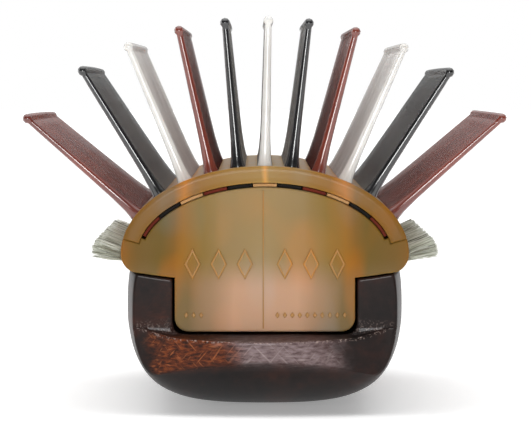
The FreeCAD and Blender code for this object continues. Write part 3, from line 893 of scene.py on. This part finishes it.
def blank_at(stations):
    """Half width, bottom and top at each station: cubic Hermite curves through the listed ones."""
    s, values = BLANK[:, 0], BLANK[:, 1:]
    slopes = np.empty_like(values)
    slopes[1:-1] = (values[2:] - values[:-2]) / (s[2:] - s[:-2])[:, None]
    slopes[0] = (values[1] - values[0]) / (s[1] - s[0])
    slopes[-1] = (values[-1] - values[-2]) / (s[-1] - s[-2])
    k = np.clip(np.searchsorted(s, stations, side="right") - 1, 0, len(s) - 2)
    span = (s[k + 1] - s[k])[:, None]
    t = (stations[:, None] - s[k][:, None]) / span
    return (
        (2 * t**3 - 3 * t**2 + 1) * values[k] + (t**3 - 2 * t**2 + t) * span * slopes[k]
        + (3 * t**2 - 2 * t**3) * values[k + 1] + (t**3 - t**2) * span * slopes[k + 1]
    )


def section_sizes(stations):
    """Half width, middle, half height and power of each section, with the dome that ends the handle."""
    start = BLANK[-1, 0]
    flat = np.minimum(stations, start)
    half, bottom, top = blank_at(flat).T
    shrink = np.sqrt(np.clip(1 - ((stations - flat) / (LENGTH - start)) ** 2, 0, 1))
    power = HEAD_POWER - POWER_LOST * np.clip((stations - NECK) / NECK_LENGTH, 0, 1)
    return half * shrink, (bottom + top) / 2, (top - bottom) / 2 * shrink, power


def superellipse(turn, half, middle, tall, power):
    """X = a |cos u|^(2/p) and Z = m + h |sin u|^(2/p), with their signs."""
    c, s = np.cos(turn), np.sin(turn)
    x = half * np.sign(c) * np.abs(c) ** (2 / power)
    return x, middle + tall * np.sign(s) * np.abs(s) ** (2 / power)


def turn_for(z, middle, tall, power):
    """The angle at which a section's outline reaches a height."""
    share = np.clip((z - middle) / tall, -1, 1)
    return np.arcsin(np.sign(share) * np.abs(share) ** (power / 2))


def seat_height(x):
    """The wood's seat follows the cushion's underside, a little below it."""
    return underside(x) - SEAT_GAP


def bow_height(y):
    """The underside curves up towards the nose as an arc of a large circle."""
    radius = (BOW_END**2 + BOW_RISE**2) / (2 * BOW_RISE)
    back = np.clip(BOW_END - (y - NOSE), 0, None)
    return radius - np.sqrt(radius**2 - back**2)


def ledge_height(x, y):
    """The ledge starts level with the channel's floor, drops towards the nose and rises to the sides."""
    side = FLOOR_Z + np.clip(np.abs(x) - CHANNEL_HALF, 0, None) * LEDGE_SIDE_SLOPE
    return side - LEDGE_DROP * (HORN - (y - NOSE)) / HORN


def nose_front(x):
    """Y of the nose's convex front, which never bends back as far as the horns."""
    bulge = NOSE_RADIUS - np.sqrt(NOSE_RADIUS**2 - np.asarray(x) ** 2)
    return NOSE + np.minimum(bulge, HORN - 0.3)


# %% The body's cage
# Shares of the way along each stretch of the section. Points close to an end keep its edge crisp.
LOW = np.linspace(0, 1, 10)                                # up the outside, as far as the ledge
HIGH = np.array([0, 0.07, 0.3, 0.55, 0.8, 0.94, 1])        # on up to the seat
SEAT_STEPS = np.array([0, 0.08, 0.35, 0.65, 0.92, 1])      # across the seat
WALL_STEPS = np.array([0, 0.06, 0.2, 0.35, 0.5, 0.64, 1])  # down the channel's wall, to a round corner
FLOOR_STEPS = np.array([0, 0.2, 0.42, 0.7, 1])             # in to the middle of the channel's floor
FACE_STEPS = np.array([0, 0.08, 0.35, 0.65, 0.92, 1])      # down a face


def between(a, b, steps):
    """Points from a to b in shares of the way: a and b may be whole rows of points."""
    a, b = np.asarray(a, float), np.asarray(b, float)
    return a[..., None, :] + (b - a)[..., None, :] * steps[:, None]


def outer_low(stations, split):
    """The outline from the middle of the bottom up to the ledge's line, never below the bow."""
    half, middle, tall, power = (v[:, None] for v in section_sizes(stations))
    turn = -math.pi / 2 + (split[:, None] + math.pi / 2) * LOW
    x, z = superellipse(turn, half, middle, tall, power)
    y = np.broadcast_to((NOSE + stations)[:, None], x.shape)
    floor = bow_height(y)
    z = np.maximum(z, floor) + TURN_RISE * np.exp(-np.abs(z - floor) / TURN_REACH) * (floor > 0)
    return np.stack([x, y, np.maximum(z, 0.0)], -1)


def outer_turns(stations):
    """The angles of the ledge's line and of the seat's corner on each section.

    The seat's height depends on X and the outline's X on the height, so the corner is found in six rounds.
    """
    half, middle, tall, power = section_sizes(np.minimum(stations, REAR))
    ledge_z = FLOOR_Z + (half - CHANNEL_HALF) * LEDGE_SIDE_SLOPE
    corner_x = half
    for _ in range(6):
        corner = turn_for(seat_height(corner_x), middle, tall, power)
        corner_x = superellipse(corner, half, middle, tall, power)[0]
    return turn_for(ledge_z, middle, tall, power), corner


cage_points, cage_faces, cage_raw, cage_worn = [], [], [], []


def patch(points, raw=0.0, worn=0.0):
    """Adds a grid of points to the cage, and its mirror image on the left."""
    for side in (1, -1):
        start = sum(len(p) for p in cage_points)
        flat = points.reshape(-1, 3) * [side, 1, 1]
        cage_points.append(flat)
        cage_faces.append(grid_faces(points.shape[0], points.shape[1], start=start))
        cage_raw.append(np.broadcast_to(raw, points.shape[:2]).ravel())
        cage_worn.append(np.broadcast_to(worn, points.shape[:2]).ravel())


# %% Head, neck and handle
# stations of the sections, closest where the shape turns
head = np.array([HORN, HORN + 0.7, 7, 11, 17, 25, 34, 44, 55, 66, 77, 87, 94, 98.8, REAR - 0.5, REAR])
dome = BLANK[-1, 0] + (LENGTH - BLANK[-1, 0]) * np.sin(np.radians([0, 15, 30, 45, 60, 74, 84, 90]))
tail = np.concatenate([[REAR, REAR + 0.8, 104, 109, 115, 122, 130, 139, 149, 160, 170, 180, 189, 196], dome])
for stations in (head, tail):
    low_turn, corner_turn = outer_turns(stations)
    half, middle, tall, power = (v[:, None] for v in section_sizes(stations))
    y = (NOSE + stations)[:, None]
    patch(outer_low(stations, low_turn))
    turn = low_turn[:, None] + (corner_turn - low_turn)[:, None] * HIGH
    x, z = superellipse(turn, half, middle, tall, power)
    flank = np.stack([x, np.broadcast_to(y, x.shape), z], -1)
    patch(flank)
    if stations is head:
        corner_x = flank[:, -1, :1]
        x = corner_x + (CHANNEL_HALF - corner_x) * SEAT_STEPS
        seat = np.stack([x, np.broadcast_to(y, x.shape), seat_height(x)], -1)
        wall = between(seat[:, -1], np.stack([x[:, -1], y[:, 0], np.full(len(y), FLOOR_Z)], -1), WALL_STEPS)
        floor = between(wall[:, -1], wall[:, -1] * [0, 1, 1], FLOOR_STEPS)
        for points in (seat, wall, floor):
            patch(points)
        opening = np.concatenate([seat[-1], wall[-1, 1:], floor[-1, 1:]])
        horn_side = flank[0]
        horn_wall = wall[0, ::-1]
        horn_seat = seat[0]
    else:
        steps = np.linspace(0, 1, len(SEAT_STEPS) + len(HIGH) + len(FLOOR_STEPS) - 2)
        turn = corner_turn[:, None] + (math.pi / 2 - corner_turn)[:, None] * steps
        x, z = superellipse(turn, half, middle, tall, power)
        top = np.stack([x, np.broadcast_to(y, x.shape), z], -1)
        patch(top)
        patch(np.stack([opening + (top[0] - opening) * t for t in FACE_STEPS]))

# %% The nose and the horns
stations = np.array([HORN])
horn_low = outer_low(stations, outer_turns(stations)[0])[0]
corner = horn_side[0]
horn_x = corner[0] + (CHANNEL_HALF - corner[0]) * SEAT_STEPS
ledge_x = np.concatenate([horn_x, CHANNEL_HALF * (1 - FLOOR_STEPS[1:])])
horn_y = NOSE + HORN
# rows of points from the horns forward: share of the way back, bareness and wear
LEDGE_ROWS = np.array([(1.0, 0.1, 0.25), (0.85, 0.2, 0), (0.5, 0.3, 0), (0.14, 0.4, 0), (0.0, 0.9, 0.8)])
rows = []
for back in LEDGE_ROWS[:, 0]:
    y = nose_front(ledge_x) + back * (horn_y - nose_front(ledge_x))
    rows.append(np.stack([ledge_x, y, ledge_height(ledge_x, y)], -1))
ledge = np.stack(rows)
patch(ledge, raw=LEDGE_ROWS[:, 1:2], worn=LEDGE_ROWS[:, 2:])
# horn faces: between the ledge's line below, the seat above, the flank outside and the channel's wall inside
bottom_line = ledge[0, :len(SEAT_STEPS)]
top_line = horn_seat
across, up = SEAT_STEPS[:, None, None], HIGH[None, :, None]
sides = horn_side[None] * (1 - across) + horn_wall[None] * across
ends = bottom_line[:, None] * (1 - up) + top_line[:, None] * up
corners = (
    (1 - across) * (1 - up) * bottom_line[0] + across * (1 - up) * bottom_line[-1]
    + (1 - across) * up * top_line[0] + across * up * top_line[-1]
)
foot_worn = np.zeros(len(HIGH))
foot_worn[0] = LEDGE_ROWS[0, 2]
patch(sides + ends - corners, raw=LEDGE_ROWS[0, 1], worn=foot_worn)
# under the nose, from the horns' plane forward: share of the way back, and bareness
UNDER_ROWS = np.array([(1.0, 0.0), (0.6, 0.0), (0.25, 0.1), (0.0, 0.3)])
rows = []
for back in UNDER_ROWS[:, 0]:
    x = horn_low[:, 0] * (1 - NOSE_TAPER * (1 - back))
    y = nose_front(x) + back * (horn_y - nose_front(x))
    z = np.maximum(horn_low[:, 2], bow_height(y))
    rows.append(np.stack([x, y, z], -1))
under = np.stack(rows)
under[:, -1, 2] = ledge_height(under[:, -1, 0], under[:, -1, 1])
patch(under, raw=UNDER_ROWS[:, 1:])
# down the nose's front: bareness and wear at each step
FACE_ROWS = np.array([(0.9, 0.7), (1.0, 0), (1.0, 0), (1.0, 0), (0.9, 0), (0.3, 0)])
front_top, front_low = ledge[-1], under[-1, ::-1]
face = front_top + (front_low - front_top) * FACE_STEPS[:, None, None]
face[..., 1] = nose_front(face[..., 0])
patch(face, raw=FACE_ROWS[:, :1], worn=FACE_ROWS[:, 1:])
print(f"cage: {len(cage_points)} patches, {sum(len(p) for p in cage_points)} points")

# %% The body
body = add_piece(
    "body_wood", np.concatenate(cage_points), np.concatenate(cage_faces),
    "wooden_body", WOOD, merge=0.01,
    attributes={"raw": np.concatenate(cage_raw), "worn": np.concatenate(cage_worn)},
)
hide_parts("wooden_body")
smooth = body.modifiers.new("Sanded", "SUBSURF")
smooth.levels = smooth.render_levels = 2

# %% [markdown]
# ## The tufts' anchors
#
# The flats of wire that hold the tufts are out of sight at the bottom of their holes. They stay as the CAD
# made them, with a drawn brass finish.

# %% Anchors
def drawn_brass():
    material, tree, shader = new_material("Drawn brass wire")
    place = node(tree, "TexCoord").outputs["Object"]
    lines = node(tree, "TexNoise", inputs={"Scale": 1 / (0.2 * MM), "Detail": 2.0}, links={"Vector": place})
    tint = node(tree, "ValToRGB", links={"Fac": lines}, stops=[(0.3, "#a8843c"), (0.7, "#cfa85a")])
    wire(tree, shader, {"Metallic": 1.0, "Roughness": 0.35}, {"Base Color": tint})
    return material


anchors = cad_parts["tuft_anchors"]
for place in anchors.material_slots:
    place.material = drawn_brass()

# %% [markdown]
# ## Floor, light and camera
#
# The brush lies on a pale floor under soft light from all round, as in a small product studio. Lamps alone
# would leave hard shadows, so a bright room does most of the work and three lamps add the highlights. The
# camera looks at the nose from a little above, through a long lens, so the rows of pins close up into fans.

# %% Floor
def pale_floor():
    material, tree, shader = new_material("Pale studio floor")
    place = node(tree, "TexCoord").outputs["Object"]
    mottle = node(tree, "TexNoise", inputs={"Scale": 2.0, "Detail": 2.0}, links={"Vector": place})
    tint = node(tree, "ValToRGB", links={"Fac": mottle}, stops=[(0.3, "#f4f4f4"), (0.7, "#f8f8f8")])
    # an opal light table: its own glow softens the shadow
    wire(tree, shader, {
        "Roughness": 1.0, "Specular IOR Level": 0.0, "Emission Strength": 0.3,
    }, {"Base Color": tint, "Emission Color": tint})
    return material


FLOOR_RADIUS = 6000.0
floor_turns = np.linspace(0, 2 * math.pi, 64, endpoint=False)
rim = np.stack([np.cos(floor_turns), np.sin(floor_turns), 0 * floor_turns], -1) * FLOOR_RADIUS
floor_mesh = bpy.data.meshes.new("floor")
floor_mesh.from_pydata((rim * MM).tolist(), [], [list(range(len(rim)))])
floor_mesh.materials.append(pale_floor())
floor_object = bpy.data.objects.new("floor", floor_mesh)
bpy.context.scene.collection.objects.link(floor_object)

# %% Light
# The room is bright overhead and behind the brush, and dim in front of it, so dark finishes stay deep and
# rims catch the light. What the camera sees of the room is plain white.
world = bpy.data.worlds.new("Studio")
world.use_nodes = True
room = world.node_tree
ray = node(room, "TexCoord").outputs["Generated"]
way = node(room, "SeparateXYZ", links={"Vector": ray})
behind = node(room, "MapRange", {"interpolation_type": "SMOOTHSTEP"},
              {"From Min": -0.5, "From Max": 0.7, "To Min": 0.1, "To Max": 0.6}, {"Value": way.outputs["Y"]})
overhead = node(room, "MapRange", {"interpolation_type": "SMOOTHSTEP"},
                {"From Min": 0.55, "From Max": 0.95, "To Max": 1.8}, {"Value": way.outputs["Z"]})
level = node(room, "Math", {"operation": "ADD"}, links={0: behind, 1: overhead})
seen = node(room, "LightPath").outputs["Is Camera Ray"]
strength = node(room, "Mix", {"data_type": "FLOAT"}, {"B": 1.0}, {"Factor": seen, "A": level})
wire(room, room.nodes["Background"], {"Color": colour("#ffffff")}, {"Strength": strength})
bpy.context.scene.world = world
bpy.context.scene.view_settings.view_transform = "Standard"


def softbox(name, place, target, size, power):
    """An area light that faces a point."""
    lamp = bpy.data.lights.new(name, "AREA")
    lamp.shape = "RECTANGLE"
    lamp.size, lamp.size_y = size
    lamp.energy = power
    lamp_object = bpy.data.objects.new(name, lamp)
    lamp_object.location = place
    lamp_object.rotation_euler = (Vector(target) - Vector(place)).to_track_quat("-Z", "Y").to_euler()
    bpy.context.scene.collection.objects.link(lamp_object)


# name, place in metres from the floor under the cushion's face, size in metres and power in watts
LAMPS = [
    ("key", (-0.01, -0.75, 0.11), (0.15, 0.15), 1.55),
    ("side_left", (-0.7, 0.25, 0.25), (0.25, 0.5), 1.2),
    ("side_right", (0.7, 0.25, 0.25), (0.25, 0.5), 0.3),
]
middle = (0, FRONT * MM, 0.03)
for name, (x, y, z), size, power in LAMPS:
    softbox(name, (x, FRONT * MM + y, z), middle, size, power)
print("lamps:", ", ".join(lamp[0] for lamp in LAMPS))

# %% Camera
DISTANCE = 657.0
VIEW_WIDTH = 85.0            # what the view spans at the cushion's face
PITCH, YAW = math.radians(1.9), math.radians(0.1)
SENSOR = 36.0
AIM_RIGHT, AIM_UP = 0.1, 11.1         # from the middle of the seat's front edge
aim = Vector((AIM_RIGHT, FRONT, SEAT_Z + AIM_UP)) * MM
gaze = Vector((math.sin(YAW), math.cos(YAW) * math.cos(PITCH), -math.sin(PITCH)))
camera = bpy.data.cameras.new("camera")
camera.sensor_width = SENSOR
camera.lens = SENSOR * DISTANCE / VIEW_WIDTH
camera.clip_start, camera.clip_end = 0.01, 50.0
camera_object = bpy.data.objects.new("camera", camera)
camera_object.location = aim - gaze * DISTANCE * MM
camera_object.rotation_euler = gaze.to_track_quat("-Z", "Y").to_euler()
bpy.context.scene.collection.objects.link(camera_object)
bpy.context.scene.camera = camera_object
print(f"lens: {camera.lens:.0f} mm, {DISTANCE:.0f} mm from the cushion's face")
